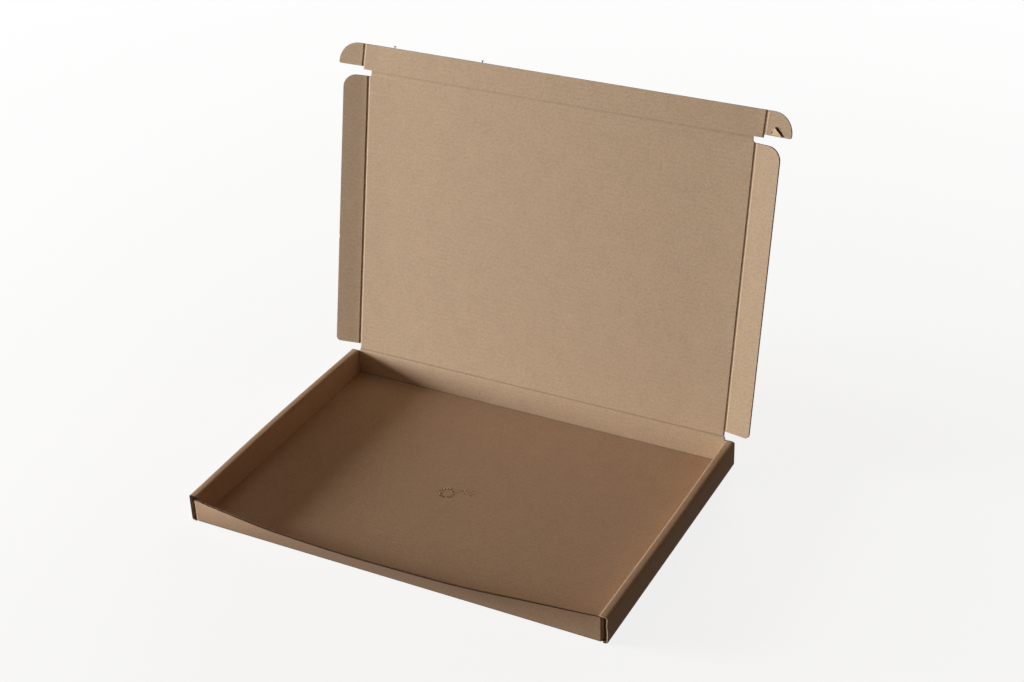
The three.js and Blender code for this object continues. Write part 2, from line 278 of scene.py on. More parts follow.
def torn_paper(name, base, grain):
    """Paper cut or torn across: no sheen at all, and fluffy fibre ends, a grain in mm, break its tone up."""
    material, tree = new_material(name)
    place = add_node(tree, "ShaderNodeTexCoord").outputs["Object"]
    inputs = {"Vector": place, "Scale": 1 / (grain * MM), "Detail": 3.0, "Roughness": 0.7}
    fluff = add_node(tree, "ShaderNodeTexNoise", inputs).outputs["Fac"]
    factor = add_node(
        tree,
        "ShaderNodeMapRange",
        {"Value": fluff, "From Min": 0.3, "From Max": 0.7, "To Min": 0.78, "To Max": 1.15},
    ).outputs["Result"]
    colour = add_node(
        tree, "ShaderNodeVectorMath", {0: hex_colour(base)[:3], "Scale": factor}, operation="SCALE"
    ).outputs["Vector"]
    paper_surface(tree, colour, fluff, strength=0.5, depth=0.12, roughness=0.95, ior=1.4)
    return material


liner_paper = kraft_liner("kraft_liner", "#bea589")
# The tray's copy of the same liner, painted darker and redder: painted shade on the tray's floor and walls
shaded_tray_liner_paper = kraft_liner("kraft_liner_shaded_for_tray", "#b19275")
fluting_paper = torn_paper("fluting_medium", "#543e2c", 0.4)
cut_paper = torn_paper("cut_liner_edge", "#6e523a", 0.3)
split_liner = torn_paper("split_liner", "#e0c6a2", 0.35)
# A dark sheet of painted shade for the inside of pricked holes and of the torn, bared fluting
painted_hole_shade = torn_paper("painted_hole_shade", "#33231a", 0.3)


# The board's own make-up, as one geometry node tree, and the distance in metres at which its points are one

SAME_POINT = 0.000001


def board_tree():
    """Turns a grid along the board's middle into two liners and the waved sheet between them. The grid's points
    carry how far they are across the flutes, how much a crease has flattened them, and which way they face."""
    tree = bpy.data.node_groups.new("corrugated board", "GeometryNodeTree")
    tree.interface.new_socket("Middle", in_out="INPUT", socket_type="NodeSocketGeometry")
    for name, default in (
        ("Board thickness", BOARD),
        ("Liner thickness", LINER),
        ("Medium thickness", MEDIUM),
        ("Flute pitch", FLUTE_PITCH),
        ("Liner sag", LINER_SAG),
    ):
        socket = tree.interface.new_socket(name, in_out="INPUT", socket_type="NodeSocketFloat")
        socket.default_value = default * MM
    for name in ("Liner paper", "Medium paper", "Cut paper"):
        tree.interface.new_socket(name, in_out="INPUT", socket_type="NodeSocketMaterial")
    tree.interface.new_socket("Board", in_out="OUTPUT", socket_type="NodeSocketGeometry")

    # What the tree is given, and what the grid's points carry
    found = {socket.name: socket for socket in add_node(tree, "NodeGroupInput").outputs}
    for name, kind in (("across", "FLOAT"), ("squash", "FLOAT"), ("facing", "FLOAT_VECTOR")):
        carried = add_node(tree, "GeometryNodeInputNamedAttribute", {"Name": name}, data_type=kind)
        found[name] = carried.outputs[0]

    # The lower face of each ply, measured from the board's middle, from what is found so far
    for name, operation, first, second in (
        ("flutes", "DIVIDE", "across", "Flute pitch"),
        ("turns", "MULTIPLY", "flutes", 2 * math.pi),
        ("wave", "SINE", "turns", 0.0),
        ("half board", "MULTIPLY", "Board thickness", 0.5),
        ("half medium", "MULTIPLY", "Medium thickness", 0.5),
        ("half sag", "MULTIPLY", "Liner sag", 0.5),
        ("dip", "ADD", "wave", -1.0),
        ("rise", "ADD", "wave", 1.0),
        ("inside sag", "MULTIPLY", "dip", "half sag"),
        ("outside sag", "MULTIPLY", "rise", "half sag"),
        ("inside flat", "SUBTRACT", "half board", "Liner thickness"),
        ("inside low", "ADD", "inside flat", "inside sag"),
        ("outside flat", "MULTIPLY", "half board", -1.0),
        ("outside low", "ADD", "outside flat", "outside sag"),
        ("swing", "SUBTRACT", "inside flat", "half medium"),
        ("medium middle", "MULTIPLY", "wave", "swing"),
        ("medium low", "SUBTRACT", "medium middle", "half medium"),
    ):
        inputs = {0: found.get(first, first), 1: found.get(second, second)}
        found[name] = add_node(tree, "ShaderNodeMath", inputs, operation=operation).outputs[0]

    plies = []
    for low, thickness, paper, edge in (
        ("inside low", "Liner thickness", "Liner paper", "Cut paper"),
        ("medium low", "Medium thickness", "Medium paper", "Medium paper"),
        ("outside low", "Liner thickness", "Liner paper", "Cut paper"),
    ):
        offsets = []
        for distance in (low, thickness):
            inputs = {0: found[distance], 1: found["squash"]}
            kept = add_node(tree, "ShaderNodeMath", inputs, operation="MULTIPLY").outputs[0]
            inputs = {0: found["facing"], "Scale": kept}
            offsets.append(add_node(tree, "ShaderNodeVectorMath", inputs, operation="SCALE").outputs["Vector"])
        lower = add_node(
            tree, "GeometryNodeSetPosition", {"Geometry": found["Middle"], "Offset": offsets[0]}
        ).outputs["Geometry"]
        inputs = {"Mesh": lower, "Offset Scale": 0.0, "Individual": False}
        raised = add_node(tree, "GeometryNodeExtrudeMesh", inputs, mode="FACES").outputs
        thick = add_node(
            tree,
            "GeometryNodeSetPosition",
            {"Geometry": raised["Mesh"], "Selection": raised["Top"], "Offset": offsets[1]},
        ).outputs["Geometry"]
        dressed = add_node(
            tree, "GeometryNodeSetMaterial", {"Geometry": thick, "Material": found[paper]}
        ).outputs["Geometry"]
        edged = add_node(
            tree,
            "GeometryNodeSetMaterial",
            {"Geometry": dressed, "Selection": raised["Side"], "Material": found[edge]},
        ).outputs["Geometry"]
        under = add_node(tree, "GeometryNodeFlipFaces", {"Mesh": lower}).outputs["Mesh"]
        under = add_node(
            tree, "GeometryNodeSetMaterial", {"Geometry": under, "Material": found[paper]}
        ).outputs["Geometry"]
        joined = add_node(tree, "GeometryNodeJoinGeometry")
        tree.links.new(edged, joined.inputs[0])
        tree.links.new(under, joined.inputs[0])
        inputs = {"Geometry": joined.outputs[0], "Distance": SAME_POINT}
        plies.append(add_node(tree, "GeometryNodeMergeByDistance", inputs).outputs["Geometry"])
    together = add_node(tree, "GeometryNodeJoinGeometry")
    for ply in reversed(plies):
        tree.links.new(ply, together.inputs[0])
    real = add_node(tree, "GeometryNodeRealizeInstances", {"Geometry": together.outputs[0]})
    add_node(tree, "NodeGroupOutput", {"Board": real.outputs["Geometry"]})
    return tree


corrugated_board = board_tree()


def set_input(modifier, tree, name, value):
    """Sets a modifier's input by its socket's identifier."""
    for item in tree.interface.items_tree:
        if item.item_type == "SOCKET" and item.in_out == "INPUT" and item.name == name:
            modifier[item.identifier] = value


def applied_mesh(source, name):
    """The mesh that an object's modifiers make. The object itself goes."""
    bpy.context.view_layer.update()
    made = bpy.data.meshes.new_from_object(source.evaluated_get(bpy.context.evaluated_depsgraph_get()))
    made.name = name
    bpy.data.objects.remove(source)
    return made


def board_panel(name, rows, columns, place, keep=None, liner=liner_paper):
    """Makes one panel of board. Rows are distances across the flutes and columns distances along them, or a
    function that gives a row's own columns, all in mm. Place gives a point's position, the way the sheet's
    inner side faces, how flat it is pressed, and how much rub and painted shade darken it or a painted
    highlight lightens it. Keep says which cells stay."""
    row_columns = [np.asarray(columns(b) if callable(columns) else columns, float) for b in rows]
    count = len(row_columns[0])
    sheet = [(a, b) for b, along in zip(rows, row_columns) for a in along]
    points, facings, squashes, tones = zip(*(place(a, b) for a, b in sheet))
    points = np.asarray(points) * MM
    facings = np.asarray(facings)
    cells = []
    for i in range(len(rows) - 1):
        for j in range(count - 1):
            middle_a = (row_columns[i][j] + row_columns[i][j + 1]) / 2
            middle_b = (rows[i] + rows[i + 1]) / 2
            if keep is None or keep(middle_a, middle_b):
                cells.append((i * count + j, i * count + j + 1, (i + 1) * count + j + 1, (i + 1) * count + j))

    # A panel whose rows and columns run the other way round its face has its cells turned
    first = cells[0]
    normal = np.cross(points[first[1]] - points[first[0]], points[first[3]] - points[first[0]])
    if normal @ facings[first[0]] < 0:
        cells = [tuple(reversed(cell)) for cell in cells]
    mesh = bpy.data.meshes.new(name)
    mesh.from_pydata(points.tolist(), [], cells)
    for attribute, kind, values in (
        ("across", "FLOAT", np.array([b for _, b in sheet]) * MM),
        ("squash", "FLOAT", np.array(squashes)),
        ("rub_and_painted_shade", "FLOAT", np.array(tones)),
    ):
        mesh.attributes.new(attribute, kind, "POINT").data.foreach_set("value", values.astype(np.float32))
    mesh.attributes.new("facing", "FLOAT_VECTOR", "POINT").data.foreach_set(
        "vector", facings.astype(np.float32).ravel()
    )
    corners = np.zeros(len(mesh.loops), np.int32)
    mesh.loops.foreach_get("vertex_index", corners)
    layer = mesh.uv_layers.new(name="board")
    layer.data.foreach_set("uv", (np.array(sheet)[corners] * MM).astype(np.float32).ravel())
    middle = add_object(name + "_middle", mesh)
    modifier = middle.modifiers.new("board", "NODES")
    modifier.node_group = corrugated_board
    for socket, paper in (("Liner paper", liner), ("Medium paper", fluting_paper), ("Cut paper", cut_paper)):
        set_input(modifier, corrugated_board, socket, paper)
    made = applied_mesh(middle, name)
    panel = add_object(name, made)

    # Points without a face go, and so do the attributes that only the tree reads
    stray = bmesh.new()
    stray.from_mesh(made)
    bmesh.ops.delete(stray, geom=[v for v in stray.verts if not v.link_faces], context="VERTS")
    stray.to_mesh(made)
    stray.free()
    for attribute in ("across", "squash", "facing"):
        if attribute in made.attributes:
            made.attributes.remove(made.attributes[attribute])
    made.shade_smooth()
    made.set_sharp_from_angle(angle=SHARP_ANGLE)
    return panel


# Rows, columns and folded lines, in mm

NEAREST_STEP = 0.004
NEAREST_COLUMN = 0.02
PRESSED_REACH = 1.2
RIDGE_PLACE = 1.6


def steps(start, end, spacing, marks=()):
    """Places from start to end, evenly spaced, with every mark among them."""
    count = max(1, round((end - start) / spacing))
    places = list(np.linspace(start, end, count + 1)) + [m for m in marks if start < m < end]
    places.sort()
    kept = [places[0]]
    for place in places[1:]:
        if place - kept[-1] > NEAREST_STEP:
            kept.append(place)
    return kept


def smooth(low, high, value):
    """Goes from 0 to 1 between two values, with no corner at either."""
    t = min(1.0, max(0.0, (value - low) / (high - low)))
    return t * t * (3 - 2 * t)


def pressed(distance):
    """How much of its thickness the board keeps at a distance from a crease, with a low ridge beside it."""
    flat = CREASE_BOARD / BOARD
    ridge = 0.08 * math.exp(-(((distance - RIDGE_PLACE) / 0.5) ** 2))
    return flat + (1 - flat) * smooth(CREASE_GAP, PRESSED_REACH, distance) + ridge


def rub_and_painted_shade(distance):
    """A crease's dark line, rubbed board with painted shade in its groove, and a painted highlight on the ridge
    that it pushes up beside it.
    """
    ridge = 0.06 * math.exp(-(((distance - RIDGE_PLACE) / 0.6) ** 2))
    return ridge - 0.45 * math.exp(-((distance / 0.55) ** 2))


class FoldedLine:
    """The middle of a sheet that runs through folds in one plane: straight stretches with rounded corners."""

    def __init__(self, corners, radius, corner_steps=5):
        corners = [np.asarray(c, float) for c in corners]
        self.points = [corners[0]]
        spans = []
        for before, corner, after in zip(corners, corners[1:], corners[2:]):
            to_before = (before - corner) / np.linalg.norm(before - corner)
            to_after = (after - corner) / np.linalg.norm(after - corner)
            half = math.acos(np.clip(to_before @ to_after, -1, 1)) / 2
            middle = (to_before + to_after) / np.linalg.norm(to_before + to_after)
            centre = corner + middle * radius / math.sin(half)
            start = corner + to_before * radius / math.tan(half) - centre
            sweep = math.pi - 2 * half
            turn = -math.copysign(1, to_before[0] * to_after[1] - to_before[1] * to_after[0])
            arc = []
            for step in range(corner_steps + 1):
                angle = turn * sweep * step / corner_steps
                c, s = math.cos(angle), math.sin(angle)
                arc.append(centre + np.array([start[0] * c - start[1] * s, start[0] * s + start[1] * c]))
            first = len(self.points)
            self.points += arc
            spans.append((first, len(self.points) - 1))
        self.points.append(corners[-1])
        self.points = np.array(self.points)
        lengths = np.linalg.norm(np.diff(self.points, axis=0), axis=1)
        self.places = np.concatenate([[0], np.cumsum(lengths)])
        self.folds = [(self.places[a], self.places[b]) for a, b in spans]
        self.length = self.places[-1]
        directions = np.diff(self.points, axis=0) / lengths[:, None]
        tangents = [directions[0]]
        for a, b in zip(directions, directions[1:]):
            tangents.append((a + b) / np.linalg.norm(a + b))
        tangents.append(directions[-1])
        self.tangents = np.array(tangents)

    def at(self, place):
        """The point and direction at a distance along the line."""
        x, y = (np.interp(place, self.places, self.points[:, i]) for i in (0, 1))
        tx, ty = (np.interp(place, self.places, self.tangents[:, i]) for i in (0, 1))
        size = math.hypot(tx, ty)
        return (x, y), (tx / size, ty / size)

    def columns(self, spacing, marks=()):
        """Every point of the line, with the straight stretches cut up, and any marks."""
        cut = set()
        for a, b in zip(self.places, self.places[1:]):
            for place in steps(a, b, spacing) if b - a > 0 else ():
                cut.add(round(float(place), 4))
        for mark in marks:
            cut.add(round(float(mark), 4))
        places = sorted(cut)
        return [p for i, p in enumerate(places) if i == 0 or p - places[i - 1] > NEAREST_COLUMN]


ROW = FLUTE_PITCH / 8
X_AXIS = np.array([1.0, 0.0, 0.0])


def axes_at(angle):
    """The direction up a flap that leans back by an angle, and the way its inner side faces."""
    return np.array([0, math.sin(angle), math.cos(angle)]), np.array([0, -math.cos(angle), math.sin(angle)])


UP_LID, LID_FACING = axes_at(LID_LEAN)
UP_TUCK, TUCK_FACING = axes_at(LID_LEAN + TUCK_BACK)
HINGE = np.array([0, HINGE_Y, HINGE_Z])
TUCK_LINE = HINGE + UP_LID * LID_LENGTH


# The tray

LEFT_BULGE = 1.5
RIGHT_BULGE = 0.8
FRONT_CORNER_DROP = 2.2


def bulge(y, z, side):
    """How far a side wall leans out between its corners, most at its top."""
    reach = LEFT_BULGE if side < 0 else RIGHT_BULGE
    return side * reach * math.cos(math.pi * y / (2 * HALF_DEPTH)) ** 1.3 * smooth(0, SIDE_HEIGHT, z)


def tray_floor():
    """The base, with the slots that the side walls' lock tabs stand in."""
    slot_low = INNER_PANEL - BOARD / 2 - LOCK_SLOT_CLEARANCE
    slot_high = INNER_PANEL + BOARD / 2 + LOCK_SLOT_CLEARANCE
    slot_half = LOCK_TAB_HALF + LOCK_SLOT_CLEARANCE
    slot_ends = [side * LOCK_TAB_CENTRE + end * slot_half for side in (-1, 1) for end in (-1, 1)]
    fold_start = HALF_DEPTH - BOARD / 2 - FOLD
    edge = OUTER_PANEL - FOLD
    corner_block = CORNER_TAB + BOARD / 2
    rows = steps(-SIDE_PANEL_END, SIDE_PANEL_END, ROW, slot_ends + [-fold_start, fold_start])
    inner = list(np.linspace(-150, 150, 9))
    marks = [slot_low, slot_high, corner_block, edge, 156.0]
    columns = sorted(inner + marks + [-m for m in marks])

    def place(a, b):
        # Painted shade along the folds up to the front and rear walls
        return (a, b, BOARD / 2), (0, 0, 1), 1.0, fold_shade_line(fold_start + 0.3 - abs(b))

    def keep(a, b):
        if abs(b) > fold_start and abs(a) < corner_block:
            return False
        in_slot = abs(abs(b) - LOCK_TAB_CENTRE) < LOCK_TAB_HALF + LOCK_SLOT_CLEARANCE
        return not (in_slot and slot_low < abs(a) < slot_high)

    return board_panel("tray_floor", rows, columns, place, keep, liner=shaded_tray_liner_paper)


def side_wall(name, side):
    """A side wall rolled over: up from the base, over the top and down the inside to its lock tabs."""
    cap_middle = SIDE_HEIGHT - CAP_BOARD / 2
    line = FoldedLine(
        [
            (INNER_PANEL, 0.3),
            (INNER_PANEL, cap_middle),
            (OUTER_PANEL, cap_middle),
            (OUTER_PANEL, BOARD / 2),
            (OUTER_PANEL - FOLD, BOARD / 2),
        ],
        FOLD,
    )
    (cap_start, cap_first), (cap_last, cap_end), (base_start, _) = line.folds
    columns = line.columns(7.0, [INNER_PANEL_FOOT - 0.3])
    lock_ends = [side_y * LOCK_TAB_CENTRE + end * LOCK_TAB_HALF for side_y in (-1, 1) for end in (-1, 1)]
    rows = steps(
        -SIDE_PANEL_END, SIDE_PANEL_END, ROW * 10 / 6, lock_ends + [-INNER_PANEL_END, INNER_PANEL_END]
    )

    def place(a, b):
        (x, z), (tx, tz) = line.at(a)
        on_cap = smooth(cap_start - 1.0, cap_first, a) * (1 - smooth(cap_last, cap_end + 1.0, a))
        squash = 1 - (1 - CAP_BOARD / BOARD) * on_cap
        facing = (tz * side, 0, -tx)
        # Rub and painted shade along the fold under the cap, and painted shade over the whole outer face from
        # the rolled top's outer fold down
        tone = 0.4 * rub_and_painted_shade(abs(a - (cap_start + cap_first) / 2)) - 0.25 * smooth(cap_last, cap_end, a)
        return (side * x + bulge(b, z, side), b, z), (-facing[0], 0, -facing[2]), squash, tone

    def keep(a, b):
        if a < INNER_PANEL_FOOT - 0.3:
            return abs(abs(b) - LOCK_TAB_CENTRE) < LOCK_TAB_HALF
        if b < -INNER_PANEL_END:
            return a > cap_start
        if b > INNER_PANEL_END:
            return a > cap_end
        return True

    return board_panel(name, rows, columns, place, keep, liner=shaded_tray_liner_paper)


# How far the front wall leans out along its length, in degrees at places along X, from the photograph
FRONT_LEAN = (
    (-164.3, 0), (-150, 7.5), (-140, 11.5), (-120, 19.5), (-100, 25.5), (-60, 29.5), (-30, 31), (0, 30.2),
    (30, 28.7), (55, 27), (80, 22.5), (100, 17), (120, 12), (140, 7), (155, 3), (164.3, 0),
)


def front_lean(x):
    """The lean at one place, with the table's corners rounded off."""
    places, angles = zip(*FRONT_LEAN)
    near = [np.interp(x + shift, places, angles) for shift in (-8, -4, 0, 4, 8)]
    return math.radians(sum(near) / len(near)) * smooth(0, 7, 164.3 - abs(x))


def front_drop(x):
    """How much lower the front wall is towards its left corner."""
    return FRONT_CORNER_DROP * (1 - smooth(-164.0, -100.0, x))


def fold_shade_line(distance):
    """Painted shade: the sharp dark line inside a fold at the base."""
    return -0.55 * math.exp(-((distance / 0.6) ** 2))


def end_wall(name, side, height, hinge_height=None, part="whole"):
    """The front or rear wall, folded up from the base, with its corner tabs turned in behind the side walls.
    Part gives only its flat middle, only the rest, or the whole of it."""
    wall = HALF_DEPTH - BOARD / 2
    tab_end = HALF_DEPTH - TAB_REACH
    line = FoldedLine(
        [(-CORNER_TAB, -tab_end), (-CORNER_TAB, -wall), (CORNER_TAB, -wall), (CORNER_TAB, -tab_end)], FOLD
    )
    middle = line.length / 2
    fold_top = BOARD / 2 + FOLD
    reach = CORNER_TAB - FOLD
    quarter = FOLD * math.pi / 2
    columns = line.columns(12.0, [middle - WING_CREASE, middle + WING_CREASE, middle - reach, middle + reach])
    top = hinge_height or height
    rows = [-quarter + quarter * i / 5 for i in range(5)] + steps(
        0, top - fold_top, ROW, [height - fold_top, top - fold_top - 1.9]
    )

    def place(a, b):
        (x, y), (tx, ty) = line.at(a)
        facing = (-ty, tx, 0)
        # Painted shade along the fold at the base
        squash, tone = 1.0, fold_shade_line(b + 0.6)
        if part != "whole" and b > 0:
            b *= 1 - front_drop(x) / (height - fold_top)
        if hinge_height:
            from_hinge = hinge_height - fold_top - b + CREASE_GAP
            # Rub, painted shade and a painted highlight along the hinge crease
            squash, tone = pressed(from_hinge), tone + 0.7 * rub_and_painted_shade(from_hinge)
        if b >= 0 and part == "middle":
            lean = front_lean(x)
            turned = (0, -side * math.cos(lean), math.sin(lean))
            out, up = b * math.sin(lean), b * math.cos(lean)
            return (x, -side * y + side * out, fold_top + up), turned, squash, tone
        if b >= 0:
            return (x, -side * y, b + fold_top), (facing[0], -side * facing[1], 0), squash, tone
        angle = -b / FOLD
        y = y + FOLD * (1 - math.cos(angle))
        z = fold_top - FOLD * math.sin(angle)
        return (x, -side * y, z), (0, -side * math.cos(angle), math.sin(angle)), 1.0, tone

    def keep(a, b):
        in_middle = abs(a - middle) < reach and b > 0
        if part != "whole" and in_middle != (part == "middle"):
            return False
        if b < 0:
            return abs(a - middle) < reach
        if b > height - fold_top:
            return abs(a - middle) < WING_CREASE
        tab = max(abs(a - middle) - CORNER_TAB - 4, 0)
        return tab == 0 or 2.0 < b + fold_top < height

    # The front wall and its tabs take the tray's copy with its painted shade; the rear wall takes the plain
    # liner
    liner = liner_paper if hinge_height else shaded_tray_liner_paper
    return board_panel(name, rows, columns, place, keep, liner=liner)


# The lid and its flaps

def across_columns(low, high, spacing, press=2.0):
    """Columns along a row, closer together beside the creases at its ends."""
    near = [low, low + 0.25, low + 0.55, low + 0.9, low + 1.4, low + press]
    far = [high - press, high - 1.4, high - 0.9, high - 0.55, high - 0.25, high]
    return near + steps(low + press, high - press, spacing)[1:-1] + far


LID_BOW = 0.9


def lid_warp(a, b):
    """The lid's own slight bow, in mm towards its inner side."""
    return -LID_BOW * math.cos(math.pi * a / (2 * WING_CREASE)) * math.sin(math.pi * b / LID_LENGTH)


def lid_panel():
    """The lid, a little narrower beside the tuck flap."""
    edge = WING_CREASE - CREASE_GAP
    relief = LID_LENGTH - RELIEF_HEIGHT
    radius = RELIEF_HEIGHT / 2 - CREASE_GAP

    def limit(b):
        if b < relief:
            return edge
        into = max(0.0, radius - (b - relief))
        return edge - RELIEF_DEPTH + radius - math.sqrt(max(radius**2 - into**2, 0.0))

    rows = steps(
        CREASE_GAP,
        LID_LENGTH - CREASE_GAP,
        ROW,
        [relief - 0.01, relief + 0.01, relief + 0.1, relief + 0.25, relief + 0.5],
    )

    def columns(b):
        return across_columns(-limit(b), limit(b), 40.0)

    def place(a, b):
        position = HINGE + X_AXIS * a + UP_LID * b + LID_FACING * lid_warp(a, b)
        hinge, tuck, wing_side = b, LID_LENGTH - b, WING_CREASE - abs(a)
        # Rub, painted shade and painted highlights along the hinge, tuck and wing creases
        tone = 0.7 * rub_and_painted_shade(hinge) + 0.35 * rub_and_painted_shade(tuck) + 0.65 * rub_and_painted_shade(wing_side)
        return position, LID_FACING, pressed(min(hinge, tuck, wing_side)), tone

    return board_panel("lid_board", rows, columns, place)


def tuck_flap():
    """The flap along the lid's free edge."""
    edge = EAR_CREASE - CREASE_GAP

    def place(a, b):
        ear_side = EAR_CREASE - abs(a)
        position = TUCK_LINE + X_AXIS * a + UP_TUCK * b
        # Rub, painted shade and painted highlights along the tuck and ear creases
        tone = 0.35 * rub_and_painted_shade(b) + 0.65 * rub_and_painted_shade(ear_side)
        return position, TUCK_FACING, pressed(min(b, ear_side)), tone

    return board_panel(
        "tuck_board", steps(CREASE_GAP, TUCK_HEIGHT, ROW), across_columns(-edge, edge, 14.0), place
    )


def turned_forward(side, facing, angle):
    """The direction out along a flap that turns forward from its crease, and the way its inner side faces."""
    outward = X_AXIS * side * math.cos(angle) + facing * math.sin(angle)
    return outward, facing * math.cos(angle) - X_AXIS * side * math.sin(angle)


def side_flap(name, side, origin, upward, facing, angle, rows, limit, spacing):
    """A wing or an ear: it turns a little forward on its crease, and its free edge follows a limit."""
    outward, turned = turned_forward(side, facing, angle)

    def columns(b):
        return [CREASE_GAP, 0.75, 1.05, 1.4, 1.9] + list(np.linspace(2.5, limit(b), spacing))

    def place(a, b):
        # Rub, painted shade and a painted highlight along the flap's crease
        return origin + outward * a + upward * b, turned, pressed(a), 0.65 * rub_and_painted_shade(a)

    return board_panel(name, rows, columns, place)


def round_rows(low, high, low_radius, high_radius):
    """Rows with extra ones where the outline turns a corner."""
    marks = [low + low_radius * (1 - math.cos(i * math.pi / 16)) for i in range(1, 8)]
    marks += [high - high_radius * (1 - math.cos(i * math.pi / 24)) for i in range(1, 12)]
    return steps(low, high, ROW, marks)


def wing(name, side):
    """A lid wing, rounded at both ends. The left one has a small jag in its edge."""

    def limit(b):
        width = WING_WIDTH
        if side < 0:
            width -= JAG_DEPTH * math.exp(-(((b - JAG_PLACE) / JAG_REACH) ** 2))
        into = max(0.0, WING_HEAD_RADIUS - (WING_HEAD - b))
        width -= WING_HEAD_RADIUS - math.sqrt(max(WING_HEAD_RADIUS**2 - into**2, 0.0))
        into = max(0.0, WING_FOOT_RADIUS - (b - WING_FOOT))
        return width - WING_FOOT_RADIUS + math.sqrt(max(WING_FOOT_RADIUS**2 - into**2, 0.0))

    origin = HINGE + X_AXIS * side * WING_CREASE
    rows = round_rows(WING_FOOT, WING_HEAD, WING_FOOT_RADIUS, WING_HEAD_RADIUS)
    return side_flap(name, side, origin, UP_LID, LID_FACING, WING_FORWARD, rows, limit, 6)


def ear(name, side):
    """An ear, cut straight along its foot and in a quarter of an oval above it."""
    curve_foot = EAR_FOOT + 1.8

    def limit(b):
        if b >= curve_foot:
            rise = min(1.0, (b - curve_foot) / (TUCK_HEIGHT - curve_foot))
            return EAR_TOP_FLAT + (EAR_WIDTH - EAR_TOP_FLAT) * math.sqrt(1 - rise**2)
        into = max(0.0, EAR_TIP_RADIUS - (b - EAR_FOOT))
        return EAR_WIDTH - EAR_TIP_RADIUS + math.sqrt(max(EAR_TIP_RADIUS**2 - into**2, 0.0))

    origin = TUCK_LINE + X_AXIS * side * EAR_CREASE
    rows = round_rows(EAR_FOOT, TUCK_HEIGHT, EAR_TIP_RADIUS, TUCK_HEIGHT - curve_foot)
    return side_flap(name, side, origin, UP_TUCK, TUCK_FACING, EAR_FORWARD, rows, limit, 8)


# The creases, each a narrow pressed strip along the fold between two panels: its rows in mm from the crease's
# line, and how much of its thickness the board keeps on the line and beside it

CREASE_ROWS = (-1.5, -1.1, -0.75, -0.5, -0.3, -0.1, 0.1, 0.3, 0.5, 0.75, 1.1, 1.5)
CREASE_CORE = 0.6
CORE_KEEPS = 0.56
SIDES_KEEP = 0.62


def crease(name, start, end, before, after, facing_before, facing_after, shade_strength=0.65):
    """Before and after are the directions away from the crease line on either side of it."""
    start, end = np.asarray(start, float), np.asarray(end, float)
    length = np.linalg.norm(end - start)
    run = (end - start) / length

    def place(a, b):
        share = smooth(-CREASE_CORE, CREASE_CORE, b)
        facing = facing_before * (1 - share) + facing_after * share
        facing = facing / np.linalg.norm(facing)
        point = start + run * a + (before * -b if b < 0 else after * b)
        kept = SIDES_KEEP if abs(b) > CREASE_CORE else CORE_KEEPS
        # Rub, painted shade and a painted highlight across the crease strip
        return point, facing, kept, shade_strength * rub_and_painted_shade(abs(b))

    strip = board_panel(name, CREASE_ROWS, steps(0, length, 12.0), place)
    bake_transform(strip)


# Small marks and damage

def thin_sheet(name, points, facing, thickness, material):
    """A scrap of paper: a grid of points, as rows in mm, with a back a little behind them and closed sides."""
    shape = bmesh.new()
    behind = np.asarray(facing) * -thickness
    front = [[shape.verts.new(Vector(p) * MM) for p in row] for row in points]
    back = [[shape.verts.new(Vector(np.asarray(p) + behind) * MM) for p in row] for row in points]
    for i in range(len(points) - 1):
        for j in range(len(points[0]) - 1):
            shape.faces.new((front[i][j], front[i][j + 1], front[i + 1][j + 1], front[i + 1][j]))
            shape.faces.new((back[i][j], back[i + 1][j], back[i + 1][j + 1], back[i][j + 1]))
    rim = [(0, j) for j in range(len(points[0]))]
    rim += [(i, len(points[0]) - 1) for i in range(1, len(points))]
    rim += [(len(points) - 1, j) for j in range(len(points[0]) - 2, -1, -1)]
    rim += [(i, 0) for i in range(len(points) - 2, 0, -1)]
    for (i, j), (k, m) in zip(rim, rim[1:] + rim[:1]):
        shape.faces.new((front[i][j], back[i][j], back[k][m], front[k][m]))
    bmesh.ops.recalc_face_normals(shape, faces=shape.faces)
    mesh = bpy.data.meshes.new(name)
    shape.to_mesh(mesh)
    shape.free()
    mesh.materials.append(material)
    scrap = add_object(name, mesh)
    return scrap


# The right ear's tear: its three corners and the open wedge beside it, out from the crease and up the ear
TEAR_TIP = (7.7, 9.3)
TEAR_LEFT = (5.2, 3.6)
TEAR_RIGHT = (13.6, 3.2)
TEAR_OPEN = (15.8, 3.2)
TEAR_NOTCH = ((4.9, 4.5), (6.1, 4.2), (6.2, 5.8), (5.6, 6.1))
TEAR_LIFT = 1.1


